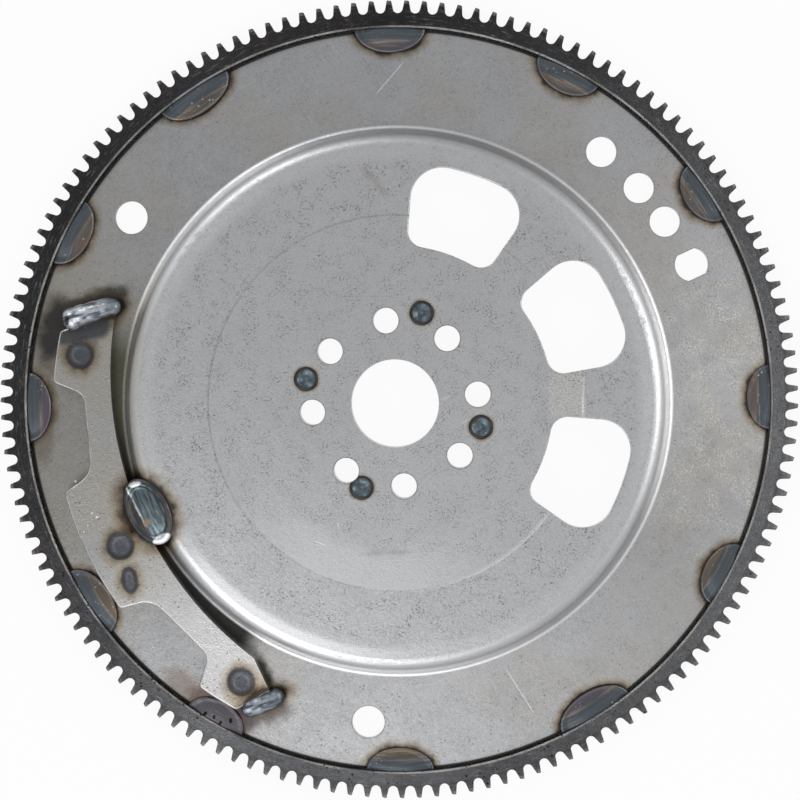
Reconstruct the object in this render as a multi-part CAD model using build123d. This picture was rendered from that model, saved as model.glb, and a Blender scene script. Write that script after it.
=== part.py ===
from build123d import *
import math
import os

# Flexplate: a pressed steel drive disc with a welded starter ring and a lobed balance weight.
# Millimetres and degrees. The origin is the centre of the crank mounting face and +Z points
# out of that face, towards the engine. Angles run from +X towards +Y. A share is a part of
# another size, so that what it places follows that size.

# Starter ring
ring_module = 2.5
ring_teeth = 142
tooth_addendum = 2.5
tooth_dedendum = 3.125
tooth_tip_width = 1.95
tooth_flank_angle = 12.2
tooth_phase = 2.2
entry_bevel_inset = 1.1
entry_bevel_drop = 1.6
entry_bevel_start_share = 0.15
ring_wall = 6.375
ring_width = 10.0
ring_proud = 3.5
ring_front_chamfer = 1.1
ring_back_chamfer = 0.6

# Drive disc
sheet = 3.0
disc_fit_gap = 0.2
annulus_width = 44.6
hub_rise = 9.8
dish_wall_angle = 68.0
shoulder_bend = 6.5
foot_bend = 2.0
web_step = 0.25
web_step_slope = 0.5
web_step_share = 0.44
punched_edge = 0.4

# Hub: each plug weld is a share of the bolt circle's radius and an angle
pilot_radius = 19.75
crank_bolt_count = 8
crank_bolt_circle = 74.6
crank_hole_radius = 5.75
crank_phase = 6.3
crank_index_hole = 5
crank_index_shift = 2.8
plate_margin = 15.7
plate_thickness = 4.5
plate_edge = 0.8
plug_radius = 5.4
plug_sink = 0.1
plug_rim_width = 1.8
plug_rim_drop = 0.3
plug_crater_depth = 0.6
plug_places = ((1.13, 73.3), (1.107, 164.7), (1.09, 248.5), (1.07, 344.9))

# Windows, placed by shares of the web between the hub plate and the dish
window_count = 3
window_first = -19.6
window_pitch = 45.0
window_half_angle = 15.25
window_inner_share = 0.252
window_outer_share = 0.776
window_inner_corner_share = 0.2
window_outer_corner_share = 0.38
window_edge_round = 0.5

# Holes in the outer annulus, inset from the foot of the dish
converter_hole_count = 3
converter_inset = 23.2
converter_phase = 25.1
converter_hole_radius = 7.45
converter_slot_narrowing = 2.5
extra_inset = 22.2
extra_hole_radius = 6.8
extra_angles = (34.0, 41.5, 50.7)

# Balance weight, drawn about its own centre, which lies a little off the disc's axis. Its corners
# and spot weld marks are shares of its width, in from its outer edge, and angles.
weight_thickness = 5.5
weight_offset_x = 1.3
weight_offset_y = -1.4
weight_angle = 205.4
weight_rim_gap = 11.0
weight_dish_gap = 3.8
weight_curve_growth = 3.2
weight_end_outer_angle = 36.6
weight_end_inner_angle = 42.9
weight_end_inner_share = 0.745
weight_top_end_reach = 1.25
weight_edge_round = 1.1
weight_corner = 2.4
recess_depth_share = 0.51
recess_mouth_inner_angle = 11.0
recess_floor_inner_angle = 13.0
recess_floor_outer_angle = 27.3
recess_mouth_outer_angle = 29.0
recess_inner_bend = 10.0
recess_outer_bend = 6.0
crop_start = (0.846, 34.6)
crop_end = (0.527, 39.9)
spot_depth = 0.35
spot_radius = 6.6
spot_places = ((0.42, 171.4), (0.54, 207.5), (0.4, 241.1))

# Weld beads: each ring weld is an angle and a share of the usual length
weld_gap = 0.05
ring_weld_depth = 10.8
ring_weld_height = 2.3
ring_weld_length = 32.0
ring_welds = (
    (1.0, 0.92),
    (34.2, 0.91),
    (62.5, 0.96),
    (90.9, 1.01),
    (123.0, 1.13),
    (152.5, 1.0),
    (180.8, 1.0),
    (213.2, 1.06),
    (240.4, 0.89),
    (270.7, 0.98),
    (302.8, 1.13),
    (332.6, 0.94),
)
top_bead_length = 28.4
top_bead_width = 9.4
top_bead_height = 7.3
top_bead_offset = 1.6
top_bead_slip = -2.9
bottom_bead_length = 21.0
bottom_bead_width = 9.0
bottom_bead_height = 6.0
bottom_bead_offset = 3.9
bottom_bead_slip = 2.8
middle_bead_angle = 204.1
middle_bead_length = 32.0
middle_bead_height = 3.0
middle_bead_root = 4.5
middle_bead_overlap = 1.6
middle_bead_reach = 11.4

# Worked-out places
ring_tip_radius = ring_module * ring_teeth / 2 + tooth_addendum
ring_root_radius = ring_module * ring_teeth / 2 - tooth_dedendum
ring_bore_radius = ring_root_radius - ring_wall
disc_radius = ring_bore_radius - disc_fit_gap
dish_foot_radius = ring_bore_radius - annulus_width
plate_radius = crank_bolt_circle / 2 + plate_margin
web_width = dish_foot_radius - plate_radius
web_step_radius = plate_radius + web_step_share * web_width
window_inner_radius = plate_radius + window_inner_share * web_width
window_outer_radius = plate_radius + window_outer_share * web_width
annulus_front = -hub_rise
ring_front = annulus_front + ring_proud
weight_outer_radius = ring_bore_radius - weight_rim_gap
weight_width = annulus_width - weight_rim_gap - weight_dish_gap
weight_inner_curve = weight_outer_radius + weight_curve_growth
weight_inner_shift = weight_curve_growth + weight_width
weight_top = annulus_front + weight_thickness
far = 2 * ring_tip_radius
edge_margin = 1.0
drawing_tolerance = 0.001


def polar(radius, angle):
    """Point in the plane at a radius and an angle."""
    turn = math.radians(angle)
    return (radius * math.cos(turn), radius * math.sin(turn))


def turned(point, angle):
    """Point turned about the axis."""
    return polar(math.hypot(*point), math.degrees(math.atan2(point[1], point[0])) + angle)


def circle_edges(solid, radius):
    """The full circles of one radius on a solid, from the lowest up."""
    edges = solid.edges().filter_by(GeomType.CIRCLE)
    return edges.filter_by(lambda edge: abs(edge.radius - radius) < drawing_tolerance).sort_by(Axis.Z)


def tooth_gap():
    """Tip corner, flank foot and root of a tooth gap that opens along +X."""
    slope = math.radians(tooth_flank_angle)
    half_gap = (2 * math.pi * ring_tip_radius / ring_teeth - tooth_tip_width) / 2
    corner_x = math.sqrt(ring_tip_radius**2 - half_gap**2)
    depth = corner_x - ring_root_radius
    root_bend = (half_gap * math.cos(slope) - depth * math.sin(slope)) / (1 - math.sin(slope))
    foot_x = ring_root_radius + root_bend * (1 - math.sin(slope))
    return (corner_x, half_gap), (foot_x, root_bend * math.cos(slope)), (ring_root_radius, 0)


def ring_outline():
    """Closed outline of the teeth, with straight flanks and full round roots."""
    corner, foot, root = tooth_gap()
    low_corner = (corner[0], -corner[1])
    low_foot = (foot[0], -foot[1])
    pitch = 360 / ring_teeth
    edges = []
    for index in range(ring_teeth):
        angle = tooth_phase + (index + 0.5) * pitch
        tip = polar(ring_tip_radius, angle + pitch / 2)
        edges.append(Line(turned(low_corner, angle), turned(low_foot, angle)))
        edges.append(ThreePointArc(turned(low_foot, angle), turned(root, angle), turned(foot, angle)))
        edges.append(Line(turned(foot, angle), turned(corner, angle)))
        edges.append(ThreePointArc(turned(corner, angle), tip, turned(low_corner, angle + pitch)))
    return Face(Wire(edges), [Wire.make_circle(ring_bore_radius)])


def entry_bevel_cutter():
    """Block whose underside bevels the front corner of one flank of a gap along +X."""
    corner, foot, _ = tooth_gap()
    top_corner = Vector(*corner, ring_width)
    top_foot = Vector(*foot, ring_width)
    start = top_foot + (top_corner - top_foot) * entry_bevel_start_share
    inset = top_corner + Vector(0, entry_bevel_inset, 0)
    drop = top_corner - Vector(0, 0, entry_bevel_drop)
    into_gap = (inset - start).cross(drop - start).normalized()
    if into_gap.Y > 0:
        into_gap = -into_gap
    bevel = Plane(start, x_dir=inset - start, z_dir=into_gap)
    run = 2 * (ring_tip_radius - ring_root_radius)
    above = (Align.MIN, Align.CENTER, Align.MIN)
    return bevel * Box(run, 4 * entry_bevel_drop, entry_bevel_inset, align=above)


def ring_gear():
    """Starter ring: cut teeth, plain bore, and a bevel where the pinion slides in."""
    ring = extrude(ring_outline(), amount=ring_width)
    cutter = entry_bevel_cutter()
    pitch = 360 / ring_teeth
    ring -= [Rot(0, 0, tooth_phase + (index + 0.5) * pitch) * cutter for index in range(ring_teeth)]
    ring = chamfer(circle_edges(ring, ring_bore_radius)[-1], ring_front_chamfer)
    ring = chamfer(circle_edges(ring, ring_bore_radius)[0], ring_back_chamfer)
    return Pos(0, 0, ring_front - ring_width) * ring


def dish_line(depth):
    """Section line of the pressing at a depth below its front, from the bore to the rim."""
    slope = math.radians(dish_wall_angle)
    wall_run = (hub_rise - web_step) / math.tan(slope)
    shift = depth * math.tan(slope / 2)
    shoulder = dish_foot_radius - wall_run - shift
    foot = dish_foot_radius - shift
    middle = web_step_radius + web_step_slope
    centre = Polyline(
        (pilot_radius, -depth),
        (web_step_radius - web_step_slope / 2, -depth),
        (web_step_radius + web_step_slope / 2, -web_step - depth),
        (middle, -web_step - depth),
    )
    dish = FilletPolyline(
        (middle, -web_step - depth),
        (shoulder, -web_step - depth),
        (foot, annulus_front - depth),
        (disc_radius, annulus_front - depth),
        radius=[shoulder_bend - depth, foot_bend + depth],
    )
    return centre, dish


def pressed_blank():
    """The dished disc before its holes are punched."""
    front_centre, front_dish = dish_line(0)
    back_centre, back_dish = dish_line(sheet)
    edges = [
        *front_centre.edges(),
        *front_dish.edges(),
        Line((disc_radius, annulus_front), (disc_radius, annulus_front - sheet)),
        *back_dish.edges(),
        *back_centre.edges(),
        Line((pilot_radius, -sheet), (pilot_radius, 0)),
    ]
    return revolve(Plane.XZ * make_face(edges), Axis.Z)


def crank_places():
    """Places of the crank holes, one of them turned on, so that the disc fits its crank one way only."""
    angles = [crank_phase + index * 360 / crank_bolt_count for index in range(crank_bolt_count)]
    angles[crank_index_hole] += crank_index_shift
    return [Pos(*polar(crank_bolt_circle / 2, angle)) for angle in angles]


def window():
    """Outline of one window, centred on +X."""
    side = polar(far, window_half_angle)
    wedge = Polygon((0, 0), (side[0], -side[1]), side, align=None)
    opening = (Circle(window_outer_radius) - Circle(window_inner_radius)) & wedge
    depth = window_outer_radius - window_inner_radius
    opening = fillet(opening.vertices().sort_by(Axis.X)[2:], window_outer_corner_share * depth)
    inner = opening.vertices().sort_by_distance((0, 0, 0))[:2]
    return fillet(inner, window_inner_corner_share * depth)


def converter_hole(index):
    """Converter holes: the first is a slot along the radius, the others are round."""
    hole = Circle(converter_hole_radius)
    if index == 0:
        hole &= Rectangle(4 * converter_hole_radius, 2 * converter_hole_radius - converter_slot_narrowing)
    return hole


def punched_shapes():
    """Every hole of the disc but the pilot bore and the plug weld holes, as flat outlines."""
    shapes = [Rot(0, 0, window_first + index * window_pitch) * window() for index in range(window_count)]
    shapes += [place * Circle(crank_hole_radius) for place in crank_places()]
    for index in range(converter_hole_count):
        turn = Rot(0, 0, converter_phase + index * 360 / converter_hole_count)
        shapes.append(turn * Pos(dish_foot_radius + converter_inset, 0) * converter_hole(index))
    for angle in extra_angles:
        shapes.append(Pos(*polar(dish_foot_radius + extra_inset, angle)) * Circle(extra_hole_radius))
    return shapes


def punch(outline, low, high):
    """Straight cutter of an outline between two heights."""
    return extrude(Pos(0, 0, low) * outline, amount=high - low)


def front_height(radius):
    """Height of the disc's flat front on the hub, the web or the annulus."""
    if radius < web_step_radius:
        return 0
    if radius < dish_foot_radius:
        return -web_step
    return annulus_front


def about_axis(edge):
    """Whether an edge is one of the disc's own circles or part of the web's step."""
    if edge.geom_type != GeomType.CIRCLE:
        return False
    if Vector(edge.arc_center.X, edge.arc_center.Y).length > drawing_tolerance:
        return False
    return edge.is_closed or abs(edge.radius - web_step_radius) < web_step_slope


def punched_front_edges(disc, low_radius, high_radius):
    """Front edges of the holes whose edges lie between two radii."""
    edges = ShapeList()
    for edge in disc.edges():
        middle = edge @ 0.5
        radius = math.hypot(middle.X, middle.Y)
        at_front = abs(middle.Z - front_height(radius)) < web_step - drawing_tolerance
        if at_front and low_radius < radius < high_radius and not about_axis(edge):
            edges.append(edge)
    return edges


def drive_disc():
    """Dished disc with its windows and holes, their front edges drawn in by the punch."""
    disc = pressed_blank()
    disc -= [punch(shape, annulus_front - 2 * sheet, sheet) for shape in punched_shapes()]
    hub_limit = window_inner_radius - edge_margin
    window_edges = punched_front_edges(disc, hub_limit, window_outer_radius + edge_margin)
    disc = fillet(window_edges, window_edge_round)
    disc = chamfer(punched_front_edges(disc, pilot_radius, hub_limit), punched_edge)
    disc = chamfer(punched_front_edges(disc, dish_foot_radius, disc_radius), punched_edge)
    plug_hole = Cylinder(plug_radius + weld_gap, 4 * sheet)
    disc -= [plug_place(place) * plug_hole for place in plug_places]
    return disc


def plug_place(place):
    """Place of a plug weld on the hub's front."""
    share, angle = place
    return Pos(*polar(share * crank_bolt_circle / 2, angle))


def hub_reinforcement_plate():
    """Thick ring behind the hub, with the hub's own bore and crank holes."""
    plate = Cylinder(plate_radius, plate_thickness) - Cylinder(pilot_radius, 2 * plate_thickness)
    bolt_hole = Cylinder(crank_hole_radius, 2 * plate_thickness)
    plate -= [place * bolt_hole for place in crank_places()]
    plate = chamfer(circle_edges(plate, plate_radius), plate_edge)
    return Pos(0, 0, -sheet - plate_thickness / 2) * plate


def hub_plug_weld(place):
    """Round weld that fills its hole in the hub: a raised rim round a shallow crater, clear of the bolts."""
    top = -plug_sink
    shoulder = top - plug_rim_drop
    crater = shoulder - plug_crater_depth
    rim_inside = plug_radius - plug_rim_width
    rim_middle = plug_radius - plug_rim_width / 2
    section = make_face(
        [
            Polyline((0, crater), (0, -sheet), (plug_radius, -sheet), (plug_radius, shoulder)),
            ThreePointArc((plug_radius, shoulder), (rim_middle, top), (rim_inside, shoulder)),
            Polyline((rim_inside, shoulder), (rim_inside / 2, crater), (0, crater)),
        ]
    )
    plug = plug_place(place) * revolve(Plane.XZ * section, Axis.Z)
    bolt_room = Cylinder(crank_hole_radius + weld_gap, 4 * sheet)
    return plug - [bolt_place * bolt_room for bolt_place in crank_places()]


def inset_radius(share):
    """Radius on the weight at a share of its width in from its outer edge."""
    return weight_outer_radius - share * weight_width


def recess(side):
    """Cutter outline of one recess between two lobes, on the side of positive or negative angles."""
    half = math.radians((recess_floor_outer_angle - recess_floor_inner_angle) / 2)
    floor = inset_radius(recess_depth_share) / math.cos(half)
    over = weight_outer_radius + weight_width / 2
    lean = (over - weight_outer_radius) / (weight_outer_radius - floor)
    inner_over = recess_mouth_inner_angle - lean * (recess_floor_inner_angle - recess_mouth_inner_angle)
    outer_over = recess_mouth_outer_angle + lean * (recess_mouth_outer_angle - recess_floor_outer_angle)
    corners = [
        polar(over, side * inner_over),
        polar(floor, side * recess_floor_inner_angle),
        polar(floor, side * recess_floor_outer_angle),
        polar(over, side * outer_over),
    ]
    outline = Polygon(*corners, align=None)
    inner = outline.vertices().sort_by_distance((*corners[1], 0))[0]
    outline = fillet(inner, recess_inner_bend)
    outer = outline.vertices().sort_by_distance((*corners[2], 0))[0]
    return fillet(outer, recess_outer_bend)


def weight_end(side):
    """Inner and outer corner of one end of the weight. The top end reaches a little further."""
    reach = weight_top_end_reach if side < 0 else 0
    inner = Vector(*polar(inset_radius(weight_end_inner_share), side * (weight_end_inner_angle + reach)))
    outer = Vector(*polar(weight_outer_radius, side * (weight_end_outer_angle + reach)))
    return inner, outer


def cropped_corner(tall):
    """Everything beyond the straight cut across the inner corner of the bottom end."""
    start = Vector(*polar(inset_radius(crop_start[0]), crop_start[1]))
    end = Vector(*polar(inset_radius(crop_end[0]), crop_end[1]))
    along = end - start
    turn = math.degrees(math.atan2(along.Y, along.X))
    beyond = Rectangle(4 * along.length, tall, align=(Align.CENTER, Align.MIN))
    return Pos(start.X, start.Y) * Rot(0, 0, turn) * beyond


def weight_outline():
    """Outline of the weight about its own centre, with its middle on +X."""
    tall = weight_outer_radius + weight_width
    ends = []
    for side in (-1, 1):
        inner, outer = weight_end(side)
        ends.append((inner * 2 - outer, outer * 2 - inner))
    wedge = Polygon(ends[0][0], ends[0][1], (tall, -tall), (tall, tall), ends[1][1], ends[1][0], align=None)
    plan = Circle(weight_outer_radius) - Pos(-weight_inner_shift, 0) * Circle(weight_inner_curve)
    plan &= wedge
    plan -= [recess(-1), recess(1), cropped_corner(tall)]
    rim_from = weight_outer_radius - drawing_tolerance
    rim = [corner for corner in plan.vertices() if Vector(corner).length > rim_from]
    return fillet(rim, weight_corner)


def place_weight(shape):
    """Shape drawn about the weight's own centre, moved to its place on the annulus."""
    return Pos(weight_offset_x, weight_offset_y, annulus_front) * Rot(0, 0, weight_angle) * shape


def balance_weight():
    """Lobed plate, with the outer edge rounded by the press and shallow spot weld marks."""
    plate = extrude(weight_outline(), amount=weight_thickness)
    outer = [edge for edge in plate.edges().group_by(Axis.Z)[-1] if on_outer_side(edge)]
    plate = place_weight(fillet(outer, weight_edge_round))
    ball_radius = (spot_radius**2 + spot_depth**2) / (2 * spot_depth)
    height = weight_top - spot_depth + ball_radius
    for share, angle in spot_places:
        plate -= Pos(*polar(inset_radius(share), angle), height) * Sphere(ball_radius)
    return plate


def on_outer_side(edge):
    """Whether an edge of the weight lies outside its inner curve and its cropped corner."""
    middle = edge @ 0.5
    return math.hypot(middle.X, middle.Y) > inset_radius(crop_end[0]) - edge_margin


def bead(length, width, height):
    """Low oval crown of weld metal, long in Y, on the plane through the origin."""
    curve = ((length / 2) ** 2 + height**2) / (2 * height)
    ball = Pos(0, 0, height - curve) * scale(Sphere(curve), by=(width / length, 1, 1))
    return ball & Box(2 * curve, 2 * curve, height, align=(Align.CENTER, Align.CENTER, Align.MIN))


def ring_weld(angle, length):
    """Fillet bead on the annulus against the ring's bore."""
    shape = Pos(ring_bore_radius, 0, annulus_front) * bead(length, 2 * ring_weld_depth, ring_weld_height)
    room = Pos(0, 0, annulus_front) * Cylinder(ring_bore_radius - weld_gap, 4 * ring_weld_height)
    return Rot(0, 0, angle) * (shape & room)


def weight_room():
    """The weight with a weld gap round it, up to its flat top, which every bead leaves free."""
    return place_weight(extrude(offset(weight_outline(), weld_gap), amount=weight_thickness))


def ring_weld_room(angle, length):
    """A ring weld with a weld gap round it."""
    grown = bead(length + 2 * weld_gap, 2 * (ring_weld_depth + weld_gap), ring_weld_height + weld_gap)
    return Rot(0, 0, angle) * Pos(ring_bore_radius, 0, annulus_front) * grown


def end_weld(side, crown, offset_out, slip):
    """Bead along one end of the weight, moved out from it by an offset and along it by a slip."""
    inner, outer = weight_end(side)
    along = (outer - inner).normalized()
    out = Vector(along.Y, -along.X) * -side
    middle = (inner + outer) / 2 + along * slip + out * offset_out
    turn = math.degrees(math.atan2(along.Y, along.X)) - 90
    shape = place_weight(Pos(middle.X, middle.Y) * Rot(0, 0, turn) * crown)
    return shape - [ring_weld_room(angle, share * ring_weld_length) for angle, share in ring_welds]


def under_disc_front():
    """Everything below the disc's front face and a weld gap above it."""
    centre, dish = dish_line(-weld_gap)
    start = centre @ 0
    rim = dish @ 1
    floor = -4 * hub_rise
    edges = [
        *centre.edges(),
        *dish.edges(),
        Line(rim, (rim.X, floor)),
        Line((rim.X, floor), (start.X, floor)),
        Line((start.X, floor), start),
    ]
    return revolve(Plane.XZ * make_face(edges), Axis.Z)


def middle_weld():
    """Bead that fills the gap between the weight's inner edge and the dish."""
    facing = math.cos(math.radians(middle_bead_angle - weight_angle))
    edge_radius = weight_inner_curve - weight_inner_shift * facing
    outer = Vector(edge_radius + middle_bead_overlap, weight_top)
    inner = Vector(dish_foot_radius - middle_bead_reach, -web_step)
    middle = (outer + inner) / 2
    lean = math.degrees(math.atan2(inner.Y - outer.Y, outer.X - inner.X))
    width = (outer - inner).length
    crown = bead(middle_bead_length, width, middle_bead_height)
    root = extrude(Ellipse(width / 2, middle_bead_length / 2), amount=-middle_bead_root)
    shape = Rot(0, 0, middle_bead_angle) * Pos(middle.X, 0, middle.Y) * Rot(0, lean, 0) * (crown + root)
    return shape - under_disc_front()


def solids():
    """Every piece of the flexplate by its name."""
    room = weight_room()
    top_bead = bead(top_bead_length, top_bead_width, top_bead_height)
    bottom_bead = bead(bottom_bead_length, bottom_bead_width, bottom_bead_height)
    pieces = {
        "ring_gear": ring_gear(),
        "drive_disc": drive_disc(),
        "hub_reinforcement_plate": hub_reinforcement_plate(),
        "balance_weight": balance_weight(),
        "weight_weld_top": end_weld(-1, top_bead, top_bead_offset, top_bead_slip) - room,
        "weight_weld_middle": middle_weld() - room,
        "weight_weld_bottom": end_weld(1, bottom_bead, bottom_bead_offset, bottom_bead_slip) - room,
    }
    for index, place in enumerate(plug_places):
        pieces[f"hub_plug_weld_{index + 1}"] = hub_plug_weld(place)
    for index, (angle, share) in enumerate(ring_welds):
        pieces[f"ring_weld_{index + 1:02d}"] = ring_weld(angle, share * ring_weld_length) - room
    return pieces


os.makedirs("parts", exist_ok=True)
for name, solid in solids().items():
    export_step(solid, f"parts/{name}.step")
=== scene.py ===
import math
import bpy
from mathutils import Vector, Matrix


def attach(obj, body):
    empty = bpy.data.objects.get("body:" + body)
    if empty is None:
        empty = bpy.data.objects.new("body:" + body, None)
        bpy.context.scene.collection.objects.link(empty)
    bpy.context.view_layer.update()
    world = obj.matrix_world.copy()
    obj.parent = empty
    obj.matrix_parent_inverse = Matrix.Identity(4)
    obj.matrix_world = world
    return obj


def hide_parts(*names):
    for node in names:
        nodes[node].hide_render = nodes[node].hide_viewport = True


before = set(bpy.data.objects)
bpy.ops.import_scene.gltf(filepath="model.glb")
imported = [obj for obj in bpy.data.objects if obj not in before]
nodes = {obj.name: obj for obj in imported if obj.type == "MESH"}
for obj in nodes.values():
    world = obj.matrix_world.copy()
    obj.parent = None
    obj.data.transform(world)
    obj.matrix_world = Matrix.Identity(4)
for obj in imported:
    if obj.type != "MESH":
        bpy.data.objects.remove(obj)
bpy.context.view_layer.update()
print("frame loaded:", len(nodes), "nodes")

# the camera stands where the photograph's did, nearly square on to the disc
view = {
    "place": (0.036, 0.0327, 0.7776),
    "target": (0.00207, 0.00133, -0.0063),
    "lens": 78.4,
    "sensor": 36.0,
}


def addCamera():
    data = bpy.data.cameras.new("view")
    data.lens = view["lens"]
    data.sensor_width = view["sensor"]
    camera = bpy.data.objects.new("view", data)
    bpy.context.scene.collection.objects.link(camera)
    camera.location = view["place"]
    back = (Vector(view["place"]) - Vector(view["target"])).normalized()
    right = Vector((0, 1, 0)).cross(back).normalized()  # +Y is up in the picture
    camera.rotation_euler = Matrix((right, back.cross(right), back)).transposed().to_euler()
    bpy.context.scene.camera = camera


studio = {
    "worldStrength": 0.52,
    "floorDrop": 0.0163,
    "floorSize": 6.0,
    "paper": 0.86,
    "paperRoughness": 0.9,
    "paperGlow": 0.93,
    "lamps": (
        # name, place, size, power, colour
        ("below", (-0.42, -0.85, 1.05), 0.95, 5.6, (0.99, 0.99, 1.0)),
        ("right", (1.05, 0.15, 0.95), 0.7, 4.4, (1.0, 0.99, 0.98)),
        ("upperLeft", (-0.62, 0.88, 0.85), 0.55, 2.6, (0.98, 0.99, 1.0)),
    ),
}


def addStudio():
    world = bpy.data.worlds.new("studio")
    bpy.context.scene.world = world
    world.use_nodes = True
    background = world.node_tree.nodes["Background"]
    background.inputs["Color"].default_value = (1, 1, 1, 1)
    background.inputs["Strength"].default_value = studio["worldStrength"]
    for name, place, size, power, tint in studio["lamps"]:
        data = bpy.data.lights.new(name, "AREA")
        data.shape = "DISK"
        data.size = size
        data.energy = power
        data.color = tint
        lamp = bpy.data.objects.new(name, data)
        bpy.context.scene.collection.objects.link(lamp)
        lamp.location = place
        lamp.rotation_euler = (-Vector(place)).to_track_quat("-Z", "Y").to_euler()


# the node tree that is being filled: newGroup and newMaterial set it for the helpers
canvas = {}


def newNode(kind):
    return canvas["tree"].nodes.new("ShaderNode" + kind)


# a value is a number, a colour or another node's socket
def feed(socket, value):
    if isinstance(value, bpy.types.NodeSocket):
        canvas["tree"].links.new(value, socket)
    else:
        socket.default_value = value


def fill(node, values):
    for name, value in values.items():
        feed(node.inputs[name], value)


def calc(operation, *values):
    node = newNode("Math")
    node.operation = operation
    for socket, value in zip(node.inputs, values):
        feed(socket, value)
    return node.outputs[0]


def plus(first, second):
    return calc("ADD", first, second)


def minus(first, second):
    return calc("SUBTRACT", first, second)


def times(value, *others):
    for other in others:
        value = calc("MULTIPLY", value, other)
    return value


def apart(value, middle):
    return calc("ABSOLUTE", minus(value, middle))


def swayed(value, by, middle, reach):
    # a value that a noise moves up and down about the noise's middle
    return plus(value, times(minus(by, middle), reach))


def length(x, y):
    return calc("SQRT", plus(times(x, x), times(y, y)))


def remap(value, low, high, start=0.0, end=1.0):
    node = newNode("MapRange")
    node.interpolation_type = "SMOOTHSTEP"
    fill(node, {"Value": value, "From Min": low, "From Max": high, "To Min": start, "To Max": end})
    return node.outputs[0]


def near(value, place):
    # remap of how far a value lies from a middle: the middle, then what remap takes
    middle, *edges = place
    return remap(apart(value, middle), *edges)


def within(value, rise, full, fade, none):
    # soft window: 0 before rise, 1 from full to fade, 0 from none on
    return times(remap(value, rise, full), remap(value, none, fade))


def onArc(radius, angle, band, arc, depth):
    return times(within(radius, *band), within(angle, *arc), depth)


def blend(share, first, second, kind="MIX"):
    node = newNode("Mix")
    node.data_type = "RGBA"
    node.blend_type = kind
    feed(node.inputs[0], share)
    feed(node.inputs[6], first)
    feed(node.inputs[7], second)
    return node.outputs[2]


def tinted(base, tint):
    return blend(1.0, base, tint, "MULTIPLY")


def ramp(value, stops):
    node = newNode("ValToRGB")
    elements = node.color_ramp.elements
    while len(elements) < len(stops):
        elements.new(0.5)
    for element, (place, level) in zip(elements, stops):
        element.position = place
        element.color = (*level, 1) if isinstance(level, tuple) else (level, level, level, 1)
    feed(node.inputs[0], value)
    return node.outputs[0]


def noise(place, scale, detail=3.0, rough=0.55):
    node = newNode("TexNoise")
    fill(node, {"Vector": place, "Scale": scale, "Detail": detail, "Roughness": rough})
    return node.outputs[0]


def clouds(place, settings):
    # noise as a mask: its scale, detail and roughness, then what remap takes
    return remap(noise(place, *settings[0]), *settings[1])


def joined(x, y, z=0.0):
    node = newNode("CombineXYZ")
    for socket, value in zip(node.inputs, (x, y, z)):
        feed(socket, value)
    return node.outputs[0]


def parted(vector):
    node = newNode("SeparateXYZ")
    feed(node.inputs[0], vector)
    return node.outputs


def newGroup(name, inputs, outputs):
    group = bpy.data.node_groups.new(name, "ShaderNodeTree")
    canvas["tree"] = group
    for label, kind, value in inputs:
        socket = group.interface.new_socket(label, in_out="INPUT", socket_type=kind)
        socket.default_value = value
    for label, kind in outputs:
        group.interface.new_socket(label, in_out="OUTPUT", socket_type=kind)
    return group, group.nodes.new("NodeGroupInput").outputs, group.nodes.new("NodeGroupOutput").inputs


def useGroup(group, **values):
    node = newNode("Group")
    node.node_tree = group
    fill(node, values)
    return node.outputs


number = "NodeSocketFloat"
colour = "NodeSocketColor"
arrow = "NodeSocketVector"
pointInput = ("Point", arrow, (0, 0, 0))

# where the welds and spots lie on the disc, in mm and degrees
marks = {
    "ring": (
        # angle, size
        (1.0, 0.92), (34.2, 0.91), (62.5, 0.96), (90.9, 1.01), (123.0, 1.13), (152.5, 1.0),
        (180.8, 1.0), (213.2, 1.06), (240.4, 0.89), (270.7, 0.98), (302.8, 1.13), (332.6, 0.94),
    ),
    "ringRadius": 168.0,
    "ringLength": 16.0,
    "ringDepth": 10.8,
    "beads": {
        # middle x and y, turn, half length, half width
        "top": (-137.0, 40.5, 18.0, 14.5, 5.6),
        "middle": (-111.6, -49.2, 117.0, 16.6, 10.6),
        "bottom": (-60.7, -136.4, 22.0, 11.0, 4.8),
    },
    "spots": ((-142.9, 21.6), (-125.0, -65.1), (-70.1, -127.0)),
    "spotRadius": 6.6,
    "ovalMark": (-120.8, -80.8, 97.0, 6.4, 4.0),
    "plugs": ((42.15, 73.3), (41.29, 164.7), (40.66, 248.5), (39.91, 344.9)),  # radius, angle
    "plugRadius": 5.4,
}


def placeGroup():
    # place in mm, distance from the axis, and angle from +X as 0 to 1 all round
    outputs = (("Point", arrow), ("Radius", number), ("Angle", number))
    group, given, result = newGroup("placeOnDisc", (), outputs)
    coords = newNode("TexCoord")
    mapping = newNode("Mapping")
    fill(mapping, {"Vector": coords.outputs["Object"], "Scale": (1000, 1000, 1000)})
    x, y, z = parted(mapping.outputs[0])
    turn = calc("ARCTAN2", times(y, -1.0), times(x, -1.0))
    feed(result["Point"], mapping.outputs[0])
    feed(result["Radius"], length(x, y))
    feed(result["Angle"], plus(calc("DIVIDE", turn, 2 * math.pi), 0.5))
    return group


def beyondOval(x, y, halfLength, halfWidth):
    # how far a point lies outside an oval, along the ray from its middle; negative inside
    size = length(calc("DIVIDE", x, halfLength), calc("DIVIDE", y, halfWidth))
    share = calc("DIVIDE", 1.0, calc("MAXIMUM", size, 0.05))
    return times(length(x, y), minus(1.0, share))


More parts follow.
